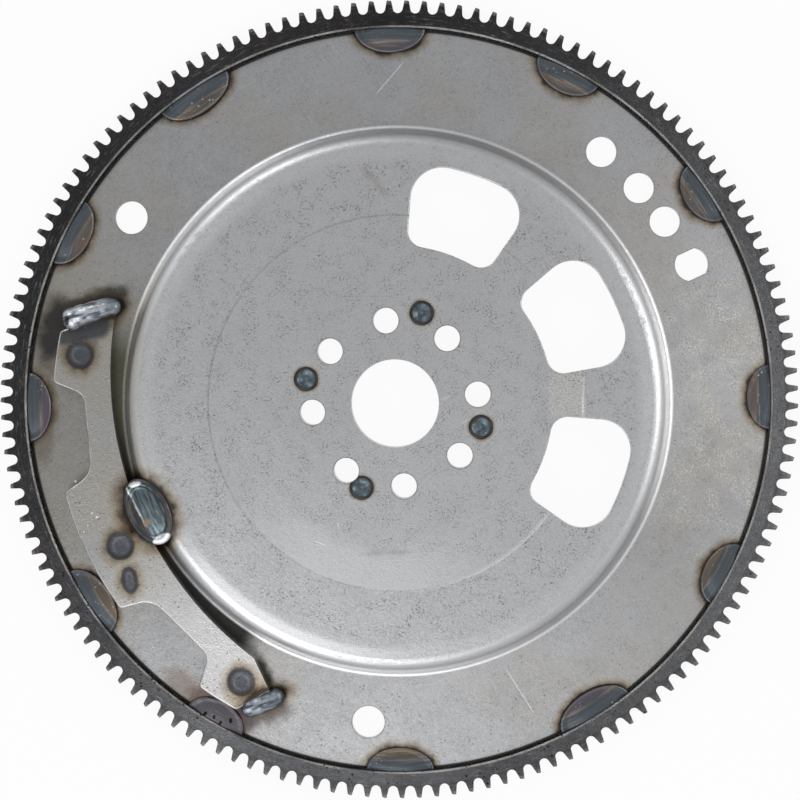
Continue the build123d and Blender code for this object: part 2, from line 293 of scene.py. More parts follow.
def ovalGroup():
    given = (
        pointInput, ("X", number, 0.0), ("Y", number, 0.0), ("Turn", number, 0.0),
        ("Half Length", number, 10.0), ("Half Width", number, 5.0),
    )
    outputs = (("Outside", number), ("Along", number), ("Across", number))
    group, source, result = newGroup("ovalField", given, outputs)
    shift = newNode("VectorMath")
    shift.operation = "SUBTRACT"
    feed(shift.inputs[0], source["Point"])
    feed(shift.inputs[1], joined(source["X"], source["Y"]))
    x, y, z = parted(shift.outputs[0])
    cos = calc("COSINE", source["Turn"])
    sin = calc("SINE", source["Turn"])
    along = plus(times(x, cos), times(y, sin))
    across = minus(times(y, cos), times(x, sin))
    outside = beyondOval(along, across, source["Half Length"], source["Half Width"])
    feed(result["Outside"], outside)
    feed(result["Along"], along)
    feed(result["Across"], across)
    return group


def inOval(point, place):
    # place: middle x and y in mm, turn in degrees, half length, half width
    shape = dict(zip(("X", "Y", "Turn", "Half Length", "Half Width"), place))
    shape["Turn"] = math.radians(shape["Turn"])
    return useGroup(ovalField, Point=point, **shape)


def nearestCircle(point, circles, radius):
    nearest = 999.0
    for x, y in circles:
        gap = newNode("VectorMath")
        gap.operation = "DISTANCE"
        feed(gap.inputs[0], point)
        gap.inputs[1].default_value = (x, y, 0)
        nearest = calc("MINIMUM", gap.outputs["Value"], nearest)
    return minus(nearest, radius)


def weldGroup():
    # how far a point lies from the nearest ring weld, weight bead, spot mark and plug, in mm
    given = (pointInput, ("Radius", number, 0.0), ("Angle", number, 0.0))
    outputs = (("Ring Weld", number), ("Bead", number), ("Spot", number), ("Plug", number))
    group, source, result = newGroup("weldField", given, outputs)
    point = source["Point"]
    flat = newNode("VectorMath")
    flat.operation = "MULTIPLY"
    feed(flat.inputs[0], point)
    flat.inputs[1].default_value = (1, 1, 0)

    turned = 9.0  # turns to the nearest ring weld, as a share of its size
    for angle, size in marks["ring"]:
        places = [angle / 360]
        if angle < 15:  # the first one lies on both sides of 0 degrees
            places.append(angle / 360 + 1)
        for place in places:
            turned = calc("MINIMUM", turned, times(apart(source["Angle"], place), 1 / size))
    along = times(turned, 2 * math.pi * marks["ringRadius"])
    across = minus(marks["ringRadius"], source["Radius"])
    ringWeld = beyondOval(along, across, marks["ringLength"], marks["ringDepth"])
    feed(result["Ring Weld"], ringWeld)

    plugs = [(radius * math.cos(math.radians(turn)), radius * math.sin(math.radians(turn)))
             for radius, turn in marks["plugs"]]
    feed(result["Plug"], nearestCircle(flat.outputs[0], plugs, marks["plugRadius"]))
    spots = nearestCircle(flat.outputs[0], marks["spots"], marks["spotRadius"])
    ovalMark = inOval(point, marks["ovalMark"])["Outside"]
    feed(result["Spot"], calc("MINIMUM", spots, ovalMark))
    bead = 999.0
    for place in marks["beads"].values():
        bead = calc("MINIMUM", inOval(point, place)["Outside"], bead)
    feed(result["Bead"], bead)
    return group


# tint of steel beside a weld: near black at its edge, then brown, straw and clear
heat = {
    "wobble": 1.1,
    "stops": (
        (0.0, (0.12, 0.1, 0.085)), (0.12, (0.3, 0.24, 0.19)), (0.38, (0.66, 0.59, 0.5)),
        (0.68, (0.89, 0.84, 0.76)), (1.0, (1.0, 1.0, 1.0)),
    ),
}


def heatGroup():
    given = (
        ("Wobble", number, 0.5), ("Away", number, 10.0), ("Reach", number, 6.0),
        ("Steel", colour, (0.5, 0.5, 0.5, 1)),
    )
    group, source, result = newGroup("heatTint", given, (("Color", colour),))
    share = calc("DIVIDE", source["Away"], source["Reach"])
    share = swayed(share, source["Wobble"], 0.5, heat["wobble"])
    feed(result["Color"], tinted(source["Steel"], ramp(share, heat["stops"])))
    return group


# rolled sheet: soft clouds, a mottle of 2 mm and a fine grain
grainLayers = (
    # input, scale, detail
    ("Clouds", 0.035, 2), ("Mottle", 0.45, 3), ("Fine", 1.9, 1),
)


def grainGroup():
    given = (pointInput, ("Clouds", number, 0.12), ("Mottle", number, 0.12), ("Fine", number, 0.2))
    group, source, result = newGroup("sheetGrain", given, (("Factor", number), ("Height", number)))
    total = 1.0
    heights = []
    for label, scale, detail in grainLayers:
        part = minus(noise(source["Point"], scale, detail, 0.6), 0.5)
        heights.append(part)
        total = plus(times(part, times(source[label], 2.0)), total)
    feed(result["Factor"], total)
    feed(result["Height"], plus(heights[1], heights[2]))
    return group


# small pits or sparkles that gather in soft patches
speck = {
    "scale": 0.62,
    "edge": (1.4, 0.6),
    "chosen": (0.35, 0.45),
    "patchNoise": (0.05, 4),
    "patchSoftness": 0.12,
}


def speckGroup():
    given = (pointInput, ("Patch", number, 0.5), ("Size", number, 0.22))
    group, source, result = newGroup("specks", given, (("Mask", number),))
    cells = newNode("TexVoronoi")
    fill(cells, {"Vector": source["Point"], "Scale": speck["scale"]})
    chosen = newNode("SeparateColor")
    feed(chosen.inputs[0], cells.outputs["Color"])
    size = times(source["Size"], chosen.outputs[0])
    outer, inner = speck["edge"]
    dot = remap(cells.outputs["Distance"], times(size, outer), times(size, inner))
    gathered = noise(source["Point"], *speck["patchNoise"])
    dense = plus(source["Patch"], speck["patchSoftness"])
    patch = remap(gathered, source["Patch"], dense)
    some = remap(chosen.outputs[1], *speck["chosen"])
    feed(result["Mask"], times(dot, patch, some))
    return group


scratches = {
    "placed": (
        # start x, y and end x, y in mm, half width
        (49.6, -120.5, 63.3, -141.9, 0.35), (-9.3, 138.4, 4.2, 154.0, 0.25),
        (-36.5, -62.0, -31.0, -64.2, 0.3), (-25.8, -53.5, -25.2, -57.0, 0.3),
        (26.9, 3.9, 20.2, 1.6, 0.2), (29.2, -9.5, 38.1, -3.7, 0.25),
        (83.8, -5.0, 84.2, 13.0, 0.55), (60.0, 42.0, 71.0, 30.5, 0.2),
    ),
    "fineTurns": ((0.4, 0.76), (2.3, 0.77)),  # turn in radians, level from which noise shows
    "fineStretch": (16, 0.55, 1),
    "fineDepth": 0.2,
}


def stretched(point, place, turn, scale):
    node = newNode("Mapping")
    node.vector_type = "TEXTURE"
    fill(node, {"Vector": point, "Location": place, "Rotation": (0, 0, turn), "Scale": scale})
    return node.outputs[0]


def scratchGroup():
    # bright hair lines: those listed, and a few fine ones out of stretched noise
    group, source, result = newGroup("hairScratches", (pointInput,), (("Mask", number),))
    total = 0.0
    for startX, startY, endX, endY, width in scratches["placed"]:
        middle = ((startX + endX) / 2, (startY + endY) / 2, 0)
        halfRun = math.hypot(endX - startX, endY - startY) / 2
        turn = math.atan2(endY - startY, endX - startX)
        x, y, z = parted(stretched(source["Point"], middle, turn, (halfRun, width, 1)))
        along = remap(calc("ABSOLUTE", x), 1.05, 0.7)
        across = remap(calc("ABSOLUTE", y), 1.2, 0.4)
        total = calc("MAXIMUM", total, times(along, across))
    for turn, level in scratches["fineTurns"]:
        lines = noise(stretched(source["Point"], (0, 0, 0), turn, scratches["fineStretch"]), 1.0, 0)
        line = remap(lines, level, level + 0.05, 0.0, scratches["fineDepth"])
        total = calc("MAXIMUM", total, line)
    feed(result["Mask"], total)
    return group


onDisc = placeGroup()
ovalField = ovalGroup()
weldField = weldGroup()
heatTint = heatGroup()
sheetGrain = grainGroup()
specks = speckGroup()
hairScratches = scratchGroup()
print("shared node groups:", len(bpy.data.node_groups))


def newMaterial(name, metallic):
    material = bpy.data.materials.new(name)
    material.use_nodes = True
    canvas["tree"] = material.node_tree
    sockets = material.node_tree.nodes["Principled BSDF"].inputs
    sockets["Metallic"].default_value = metallic
    return material, sockets


def coat(sockets, steel, rough, height, bumpStrength, bumpDistance):
    feed(sockets["Base Color"], steel)
    feed(sockets["Roughness"], rough)
    bump = newNode("Bump")
    fill(bump, {"Strength": bumpStrength, "Distance": bumpDistance, "Height": height})
    feed(sockets["Normal"], bump.outputs[0])


def heated(steel, wobble, *zones):
    for away, reach in zones:
        steel = useGroup(heatTint, Wobble=wobble, Away=away, Reach=reach, Steel=steel)["Color"]
    return steel


# a band is four radii in mm and an arc four angles, 0 to 1 round from +X, both for within();
# a zone is a band, an arc and a depth, for onArc()
pressedSheet = {
    "steel": (0.55, 0.555, 0.568, 1),
    "grain": {"Clouds": 0.16, "Mottle": 0.17, "Fine": 0.24},
    "roughness": 0.4,
    "bump": (0.26, 0.0003),
    # painted light and shade round the disc, lighter at the right and below, and how strong the painted
    # highlights of the dish and crease are: angle, level
    "annulusLightShade": (
        (0.0, 0.92), (0.14, 0.76), (0.27, 0.71), (0.42, 0.665), (0.5, 0.53), (0.55, 0.57),
        (0.62, 0.69), (0.72, 0.89), (0.84, 0.91), (0.93, 0.79), (1.0, 0.9),
    ),
    "webLightShade": ((0.0, 1.0), (0.25, 0.96), (0.5, 0.94), (0.72, 1.0), (1.0, 1.0)),
    "dishHighlightTone": (
        (0.0, 0.7), (0.09, 0.35), (0.2, 0.2), (0.3, 0.3), (0.38, 0.7), (0.46, 0.3),
        (0.6, 0.3), (0.68, 0.8), (0.8, 0.45), (0.85, 0.3), (0.93, 0.32), (1.0, 0.7),
    ),
    "creaseShadeTone": (
        (0.0, 0.2), (0.2, 0.4), (0.3, 0.5), (0.42, 0.4), (0.55, 0.25), (0.64, 0.1),
        (0.76, 0.1), (0.84, 0.6), (0.92, 0.5), (1.0, 0.2),
    ),
    "outer": (112.0, 124.0),
    "warm": (0.97, 0.94, 0.88, 1),
    "warmClouds": ((0.02, 3), (0.45, 0.62, 0.0, 0.7)),
    # wear
    "web": (112.0, 104.0),
    "pits": {"Patch": 0.44, "Size": 0.3},
    "pitDepth": 0.5,
    "pit": (0.16, 0.14, 0.12, 1),
    "dirtGrain": ((1.2, 2, 0.75), (0.5, 0.66)),
    "dirtClouds": ((0.13, 3, 0.6), (0.43, 0.64, 0.2, 1.0)),
    "dirtDepth": (0.42, 0.85),
    "dirt": (0.16, 0.155, 0.15, 1),
    "frostSide": (0.5, 0.4, 0.46),
    "frostReach": (118.0, 130.0, 0.0, 0.75),
    "frostClouds": ((0.09, 3), (0.38, 0.6)),
    "frostGrain": ((1.5, 2, 0.7), (0.5, 0.64)),
    "frost": (0.8, 0.775, 0.68, 1),
    "scratchDepth": 0.42,
    "scratch": (0.9, 0.9, 0.9, 1),
    # rough patch between the two lower windows: its middle and its edges
    "patchX": (76.5, 8.6, 7.0),
    "patchY": (4.2, 11.0, 8.0),
    "patchEnd": (84.1, 83.8),
    # painted shade and highlights on the crease, and painted highlights on the dish
    "crease": (84.2, 1.0, 0.3),
    "creaseHighlightTurn": (0.64, 0.78),
    "creaseShadeColours": ((0.27, 0.27, 0.27, 1), (0.74, 0.74, 0.74, 1)),
    "glareZone": ((60.0, 72.0, 83.4, 84.6), (0.58, 0.68, 0.76, 0.86), 0.7),
    "glare": (0.64, 0.655, 0.67, 1),
    "wallBand": (115.0, 117.6, 124.4, 125.4),
    "wallCrest": (120.0, 121.4),
    "wallHighlightRange": (0.15, 0.5, 0.3, 1.0),
    "sheenHighlightRange": (0.2, 0.6),
    "wallSheenColours": ((0.8, 0.81, 0.835, 1), (1.0, 1.0, 1.0, 1)),
    "innerHighlightBand": (106.5, 113.0, 116.0, 119.0),
    "innerHighlightClouds": ((0.8, 2, 0.6), (0.35, 0.6, 0.4, 1.0)),
    "innerHighlight": (0.7, 0.71, 0.725, 1),
    "footHighlight": (124.0, 0.9, 0.3),
    "footHighlightRange": (0.0, 1.0, 0.2, 0.95),
    "footHighlightGap": (0.51, 0.05, 0.09),
    "footHighlightColour": (0.9, 0.9, 0.93, 1),
    # heat tint, olive tint, painted shade and a painted highlight
    "wobble": (0.16, 4),
    "ringReach": 4.2,
    "beadReach": 6.5,
    "plugReach": 1.8,
    "plugMargin": 0.4,
    "oliveArc": (0.4, 0.46, 0.56, 0.6),
    "olive": (0.97, 0.94, 0.86, 1),
    "slotShadeZone": ((122.8, 125.4, 136.0, 139.0), (0.445, 0.48, 0.657, 0.672), 0.94),
    "slotShadeTurn": (0.5, 0.55),
    "slotShadeColours": ((0.085, 0.085, 0.06, 1), (0.014, 0.013, 0.01, 1)),
    # painted highlight on the dish shoulder, below and to the left
    "shoulderZone": ((109.5, 112.5, 116.2, 117.6), (0.575, 0.63, 0.68, 0.78), 0.75),
    "shoulder": (0.93, 0.93, 0.94, 1),
    "scorchWobble": 9.0,
    "scorchEdge": (3.0, -4.5),
    "scorchesAndShadow": (
        # middle, turn, half length and width in mm; colour; depth
        ((-156.5, 31.5, 80.0, 20.0, 9.0), (0.125, 0.098, 0.074, 1), 0.6),
        ((-156.0, 32.5, 76.0, 15.0, 6.4), (0.034, 0.034, 0.036, 1), 0.88),
        ((-137.0, 46.6, 17.0, 17.0, 4.6), (0.055, 0.05, 0.046, 1), 0.8),
        ((-79.0, -140.6, -27.0, 18.5, 7.6), (0.088, 0.075, 0.088, 1), 0.86),
        ((-94.0, -132.0, -36.0, 15.0, 6.5), (0.2, 0.145, 0.11, 1), 0.6),
        ((-60.0, -143.0, 15.0, 13.0, 5.0), (0.11, 0.095, 0.085, 1), 0.7),
        # painted shadow beside the weight's lower end
        ((-61.0, -124.5, -61.0, 10.0, 4.2), (0.026, 0.024, 0.017, 1), 0.9),
        ((-4.0, -67.0, 2.0, 11.0, 1.6), (0.28, 0.225, 0.185, 1), 0.3),
        ((-9.0, 99.0, -48.0, 9.0, 1.8), (0.26, 0.22, 0.17, 1), 0.3),
        ((-161.0, -10.0, 88.0, 20.0, 6.0), (0.14, 0.115, 0.09, 1), 0.55),
    ),
    # painted shade in the gap between the disc and the ring
    "gapShadeFrom": (166.2, 167.0, 0.0, 0.9),
    "gapShade": (0.02, 0.018, 0.016, 1),
}


def pressedSteel():
    look = pressedSheet
    material, sockets = newMaterial("pressedSteel", 1.0)
    point, radius, angle = useGroup(onDisc)
    grain = useGroup(sheetGrain, Point=point, **look["grain"])
    outer = remap(radius, *look["outer"])
    # painted light and shade by angle round the disc
    lightShadeTone = blend(outer, ramp(angle, look["webLightShade"]), ramp(angle, look["annulusLightShade"]))
    steel = tinted(look["steel"], lightShadeTone)
    warm = times(outer, clouds(point, look["warmClouds"]))
    steel = blend(warm, steel, tinted(steel, look["warm"]))
    steel = tinted(steel, grain["Factor"])
    steel, pits, hair = sheetWear(look, steel, point, radius, angle)
    steel, crease = dishAndCreaseLight(look, steel, point, radius, angle)
    steel = discHeatAndLight(look, steel, point, radius, angle, outer)
    rough = swayed(look["roughness"], grain["Factor"], 1.0, -0.5)
    rough = plus(rough, times(plus(pits, crease), 0.25))
    rough = plus(rough, times(outer, 0.05))
    relief = minus(grain["Height"], plus(pits, times(hair, 0.5)))
    coat(sockets, steel, rough, relief, *look["bump"])
    return material


def sheetWear(look, steel, point, radius, angle):
    # dark pits and dirt in clouds, most on the web; pale specks at the right; scratches
    pits = times(useGroup(specks, Point=point, **look["pits"])["Mask"], look["pitDepth"])
    steel = blend(pits, steel, look["pit"])
    web = remap(radius, *look["web"])
    dirt = times(clouds(point, look["dirtGrain"]), clouds(point, look["dirtClouds"]))
    dirt = times(dirt, remap(web, 0, 1, *look["dirtDepth"]))
    steel = blend(dirt, steel, look["dirt"])
    side = times(near(angle, look["frostSide"]), remap(radius, *look["frostReach"]))
    side = times(side, clouds(point, look["frostClouds"]))
    x, y, z = parted(point)
    patch = times(near(x, look["patchX"]), near(y, look["patchY"]), remap(radius, *look["patchEnd"]))
    frost = times(clouds(point, look["frostGrain"]), calc("MAXIMUM", side, patch))
    steel = blend(frost, steel, look["frost"])
    hair = useGroup(hairScratches, Point=point)["Mask"]
    steel = blend(times(hair, look["scratchDepth"]), steel, look["scratch"])
    return steel, pits, hair


def dishAndCreaseLight(look, steel, point, radius, angle):
    # painted shade and highlight on the web's crease, dark above and pale at the lower right, with a painted
    # glare inside it
    crease = near(radius, look["crease"])
    creaseShadeColour = blend(remap(angle, *look["creaseHighlightTurn"]), *look["creaseShadeColours"])
    steel = blend(times(crease, ramp(angle, look["creaseShadeTone"])), steel, creaseShadeColour)
    steel = blend(onArc(radius, angle, *look["glareZone"]), steel, look["glare"])
    # painted highlights on the dish wall and shoulder, stronger at some angles round the disc than at others
    dishHighlightLevel = ramp(angle, look["dishHighlightTone"])
    dull, bright = look["wallSheenColours"]
    sheen = blend(remap(dishHighlightLevel, *look["sheenHighlightRange"]), dull, bright)
    sheen = blend(remap(radius, *look["wallCrest"]), dull, sheen)
    wallSheenMask = times(within(radius, *look["wallBand"]), remap(radius, *look["wallCrest"], 0.8, 1.0),
                 remap(dishHighlightLevel, *look["wallHighlightRange"]))
    steel = blend(wallSheenMask, steel, sheen)
    innerHighlight = times(within(radius, *look["innerHighlightBand"]), dishHighlightLevel, clouds(point, look["innerHighlightClouds"]))
    steel = blend(innerHighlight, steel, look["innerHighlight"])
    # a painted highlight line at the foot of the dish, but not beside the weight
    footHighlight = times(near(radius, look["footHighlight"]), remap(dishHighlightLevel, *look["footHighlightRange"]),
                   near(angle, look["footHighlightGap"]))
    steel = blend(footHighlight, steel, look["footHighlightColour"])
    return steel, crease


def discHeatAndLight(look, steel, point, radius, angle, outer):
    welds = useGroup(weldField, Point=point, Radius=radius, Angle=angle)
    wobble = noise(point, *look["wobble"])
    plugEdge = plus(welds["Plug"], look["plugMargin"])
    zones = ((welds["Ring Weld"], look["ringReach"]), (welds["Bead"], look["beadReach"]),
             (plugEdge, look["plugReach"]))
    steel = heated(steel, wobble, *zones)
    # olive tint at the left, painted shade in the slot between the weight and the dish, and a painted
    # highlight on the dish shoulder below
    olive = times(outer, within(angle, *look["oliveArc"]))
    steel = blend(olive, steel, tinted(steel, look["olive"]))
    shade = blend(remap(angle, *look["slotShadeTurn"]), *look["slotShadeColours"])
    steel = blend(onArc(radius, angle, *look["slotShadeZone"]), steel, shade)
    steel = blend(onArc(radius, angle, *look["shoulderZone"]), steel, look["shoulder"])
    # heat tints, and one painted shadow beside the weight's lower end
    for place, tint, depth in look["scorchesAndShadow"]:
        zone = swayed(inOval(point, place)["Outside"], wobble, 0.5, look["scorchWobble"])
        steel = blend(times(remap(zone, *look["scorchEdge"]), depth), steel, tint)
    # painted shade along the disc's rim, in the gap inside the ring
    return blend(remap(radius, *look["gapShadeFrom"]), steel, look["gapShade"])


weightSheet = {
    "steel": (0.37, 0.37, 0.362, 1),
    "warm": (0.36, 0.348, 0.318, 1),
    "warmClouds": ((0.035, 4), (0.4, 0.6)),
    "lower": (0.6, 0.6, 0.605, 1),
    "lowerFrom": (0.57, 0.64, 0.0, 0.9),
    "grain": {"Clouds": 0.2, "Mottle": 0.16, "Fine": 0.2},
    "roughness": 0.4,
    "bump": (0.4, 0.0003),
    "beadReach": 8.0,
    "spotReach": 6.0,
    "spotMargin": 1.6,
    # a spot weld's mark: dark ring, paler middle and a thin crest
    "markEdge": (0.4, -0.6, 0.0, 0.85),
    "mark": (0.065, 0.062, 0.066, 1),
    "middleFrom": (-1.4, -2.4),
    "markMiddle": (0.105, 0.118, 0.135, 1),
    "crest": (-3.3, 0.8, 0.2, 0.0, 0.5),
    "markCrest": (0.26, 0.26, 0.265, 1),
    # burnt corner under the top bead
    "corner": (-141.0, 31.5, 15.0, 13.5, 5.2),
    "cornerWobble": 5.0,
    "cornerEdge": (2.0, -3.0, 0.0, 0.88),
    "cornerColour": (0.058, 0.064, 0.074, 1),
    "pits": {"Patch": 0.4, "Size": 0.3},
    "pitDepth": 0.5,
    "pit": (0.12, 0.1, 0.08, 1),
    # painted highlight on the edges: how far up the surface faces, and where the highlight shows
    "edgeHighlightFacing": (0.25, 0.5, 0.93, 0.985),
    "edgeHighlightClouds": ((0.08, 3), (0.35, 0.6, 0.25, 0.9)),
    "edgeHighlight": (0.88, 0.87, 0.85, 1),
}


def weightSteel():
    look = weightSheet
    material, sockets = newMaterial("weightSteel", 1.0)
    point, radius, angle = useGroup(onDisc)
    grain = useGroup(sheetGrain, Point=point, **look["grain"])
    steel = blend(clouds(point, look["warmClouds"]), look["steel"], look["warm"])
    steel = blend(remap(angle, *look["lowerFrom"]), steel, look["lower"])
    steel = tinted(steel, grain["Factor"])
    welds = useGroup(weldField, Point=point, Radius=radius, Angle=angle)
    wobble = noise(point, *pressedSheet["wobble"])
    spotEdge = plus(welds["Spot"], look["spotMargin"])
    steel = heated(steel, wobble, (welds["Bead"], look["beadReach"]), (spotEdge, look["spotReach"]))
    spot = blend(remap(welds["Spot"], *look["middleFrom"]), look["mark"], look["markMiddle"])
    crest = times(near(welds["Spot"], look["crest"]), remap(wobble, 0.35, 0.6))
    spot = blend(crest, spot, look["markCrest"])
    steel = blend(remap(welds["Spot"], *look["markEdge"]), steel, spot)
    corner = swayed(inOval(point, look["corner"])["Outside"], wobble, 0.5, look["cornerWobble"])
    steel = blend(remap(corner, *look["cornerEdge"]), steel, look["cornerColour"])
    pits = useGroup(specks, Point=point, **look["pits"])["Mask"]
    steel = blend(times(pits, look["pitDepth"]), steel, look["pit"])
    # painted highlight on edges that face partly upward
    surface = newNode("NewGeometry")
    facing = parted(surface.outputs["Normal"])[2]
    edgeHighlight = times(within(facing, *look["edgeHighlightFacing"]), clouds(point, look["edgeHighlightClouds"]))
    steel = blend(edgeHighlight, steel, look["edgeHighlight"])
    rough = swayed(look["roughness"], grain["Factor"], 1.0, -0.5)
    rough = plus(rough, times(pits, 0.25))
    coat(sockets, steel, rough, minus(grain["Height"], pits), *look["bump"])
    return material


ringOxide = {
    "dark": (0.057, 0.058, 0.061, 1),
    "grain": {"Clouds": 0.35, "Mottle": 0.35, "Fine": 0.45},
    "rough": (0.6, 1.4, 0.52, 0.36),
    "bump": (0.55, 0.0004),
    # painted light and shade round the ring, lighter at the right and below
    "toneTop": 2.5,
    "lightShadeTone": (
        (0.0, 2.5), (0.09, 1.75), (0.17, 0.85), (0.25, 0.5), (0.33, 0.72), (0.42, 0.52),
        (0.5, 0.58), (0.6, 1.1), (0.67, 2.3), (0.8, 1.5), (0.9, 2.3), (1.0, 2.5),
    ),
    "rust": (0.2, 0.125, 0.075, 1),
    "rustClouds": ((0.11, 4, 0.65), (0.56, 0.74, 0.0, 0.2)),
    # rubbed streaks that follow the ring
    "streak": (1.3, 150.0),
    "streakNoise": (1.0, 3, 0.6),
    "streakLevels": (0.55, 0.78, 0.0, 0.4),
    "bare": (0.42, 0.41, 0.4, 1),
    # painted highlight on the bore's chamfer, painted shade on the wall inside it
    "chamferBand": (168.1, 168.4, 168.7, 169.15),
    "chamferPace": 40.0,
    "chamferNoise": ((1.0, 3), (0.34, 0.58, 0.25, 0.95)),
    "chamfer": (0.5, 0.49, 0.47, 1),
    "bore": (168.12, 168.04),
    "boreShade": (0.018, 0.017, 0.016, 1),
    # worn tooth tips, browner roots, painted shade on the entry bevels
    "tip": (177.8, 179.6, 0.0, 0.5),
    "tipColour": (0.34, 0.325, 0.3, 1),
    "rootBand": (173.6, 174.6, 175.2, 177.0),
    "rootDepth": 0.35,
    "rootColour": (0.05, 0.042, 0.035, 1),
    "bevelDrop": (-6.34, -6.6),
    "bevelFrom": (174.0, 174.8, 0.0, 0.85),
    "bevelShadeColour": (0.022, 0.02, 0.02, 1),
    "pits": {"Patch": 0.46, "Size": 0.36},
    "pitDepth": 0.8,
    "pit": (0.015, 0.013, 0.012, 1),
}


def ringSteel():
    look = ringOxide
    material, sockets = newMaterial("ringSteel", 1.0)
    point, radius, angle = useGroup(onDisc)
    grain = useGroup(sheetGrain, Point=point, **look["grain"])
    top = look["toneTop"]
    # painted light and shade by angle round the ring
    lightShadeTone = ramp(angle, [(place, level / top) for place, level in look["lightShadeTone"]])
    steel = tinted(tinted(look["dark"], lightShadeTone), (top, top, top, 1))
    steel = blend(clouds(point, look["rustClouds"]), steel, look["rust"])
    acrossPace, alongPace = look["streak"]
    lanes = joined(times(radius, acrossPace), times(angle, alongPace))
    streak = noise(lanes, *look["streakNoise"])
    steel = blend(remap(streak, *look["streakLevels"]), steel, look["bare"])
    # painted highlight on the chamfer, patchy round the ring
    patchy = clouds(joined(times(angle, look["chamferPace"]), 0.0), look["chamferNoise"])
    chamfer = times(within(radius, *look["chamferBand"]), patchy)
    steel = blend(chamfer, steel, look["chamfer"])
    # painted shade on the bore's wall
    steel = blend(remap(radius, *look["bore"]), steel, look["boreShade"])
    steel = blend(remap(radius, *look["tip"]), steel, look["tipColour"])
    root = times(within(radius, *look["rootBand"]), look["rootDepth"])
    steel = blend(root, steel, look["rootColour"])
    # painted shade on the entry bevels below the ring's face
    drop = remap(parted(point)[2], *look["bevelDrop"])
    bevelShadeMask = times(drop, remap(radius, *look["bevelFrom"]))
    steel = blend(bevelShadeMask, steel, look["bevelShadeColour"])
    steel = tinted(steel, grain["Factor"])
    pits = useGroup(specks, Point=point, **look["pits"])["Mask"]
    steel = blend(times(pits, look["pitDepth"]), steel, look["pit"])
    rough = remap(grain["Factor"], *look["rough"])
    coat(sockets, steel, rough, minus(grain["Height"], pits), *look["bump"])
    return material


# glassy ring welds: slag with streaks that follow the ring, a brown side and a straw seam
weldGlass = {
    "darkSlag": (0.075, 0.085, 0.098, 1),
    "slag": (0.105, 0.125, 0.14, 1),
    "streak": (0.75, 46.0),
    "streakNoise": (1.0, 4, 0.6),
    "each": (11.0, 3.0),
    "purple": (0.135, 0.105, 0.13, 1),
    "brown": (0.18, 0.135, 0.09, 1),
    "brownFrom": (163.4, 161.2),
    "straw": (0.4, 0.32, 0.22, 1),
    "seam": (160.9, 3.0),
    "seamEdge": (1.2, 0.1),
    # the weld beside the weight's lower end is burnt over
    "burnt": (0.668, 0.024, 0.012, 0.0, 0.85),
    "burntColours": ((0.125, 0.11, 0.125, 1), (0.15, 0.145, 0.16, 1)),
    "pits": (
        # middle, turn, half length and width in mm
        (-87.2, -142.4, 50.0, 1.3, 0.7), (-83.0, -143.8, 80.0, 1.0, 0.6),
        (-80.2, -146.6, 60.0, 1.2, 0.6), (-75.5, -145.6, 95.0, 1.2, 0.7),
    ),
    "pit": (0.008, 0.007, 0.007, 1),
    "rimBand": (0.2, 0.6, 0.7, 1.3),
    "rimDepth": 0.27,
    "rim": (0.33, 0.33, 0.32, 1),
    "edgeFrom": (0.3, -0.1),
    "edge": (0.03, 0.024, 0.02, 1),
    "sparkles": {"Patch": 0.5, "Size": 0.3},
    "sparkleDepth": 0.6,
    "sparkle": (0.6, 0.58, 0.52, 1),
    "rough": (0.3, 0.7, 0.5, 0.34),
    "bump": (0.5, 0.0006),
}


def ringWeldGlass():
    look = weldGlass
    material, sockets = newMaterial("ringWeldGlass", 0.85)
    point, radius, angle = useGroup(onDisc)
    welds = useGroup(weldField, Point=point, Radius=radius, Angle=angle)
    inside = times(welds["Ring Weld"], -1.0)
    acrossPace, alongPace = look["streak"]
    lanes = joined(times(radius, acrossPace), times(angle, alongPace))
    streak = noise(lanes, *look["streakNoise"])
    pace, start = look["each"]  # changes slowly, so each weld gets a tone of its own
    each = noise(joined(times(angle, pace), start), 1.0, 1)
    steel = blend(remap(streak, 0.35, 0.65), look["darkSlag"], look["slag"])
    brown = blend(remap(each, 0.4, 0.6), look["purple"], look["brown"])
    low = times(remap(radius, *look["brownFrom"]), remap(streak, 0.4, 0.6, 0.25, 0.95))
    steel = blend(low, steel, brown)
    seamStart, seamReach = look["seam"]
    seamRadius = plus(seamStart, times(each, seamReach))
    seam = remap(apart(radius, seamRadius), *look["seamEdge"])
    seam = times(seam, remap(streak, 0.42, 0.66, 0.0, 0.5))
    steel = blend(seam, steel, look["straw"])
    burnt = near(angle, look["burnt"])
    steel = blend(burnt, steel, blend(remap(each, 0.3, 0.7), *look["burntColours"]))
    for place in look["pits"]:
        hole = inOval(point, place)["Outside"]
        steel = blend(remap(hole, 0.3, -0.3), steel, look["pit"])
    clear = remap(burnt, 0.0, 0.85, 1.0, 0.2)
    rim = times(within(inside, *look["rimBand"]), clear, look["rimDepth"])
    steel = blend(rim, steel, look["rim"])
    steel = blend(times(remap(inside, *look["edgeFrom"]), clear), steel, look["edge"])
    sparkles = useGroup(specks, Point=point, **look["sparkles"])["Mask"]
    steel = blend(times(sparkles, look["sparkleDepth"]), steel, look["sparkle"])
    coat(sockets, steel, remap(streak, *look["rough"]), streak, *look["bump"])
    return material


plugGlass = {
    "mottle": (0.45, 4, 0.6),
    "glass": ((0.07, 0.095, 0.11, 1), (0.145, 0.195, 0.22, 1)),
    "rim": (0.055, 0.052, 0.055, 1),
    "rimFrom": (1.9, 0.9),
    "crater": (0.3, 0.29, 0.25, 1),
    "craterFrom": (4.6, 5.2, 0.0, 0.5),
    "rough": (0.3, 0.7, 0.42, 0.28),
    "bump": (0.5, 0.0005),
}


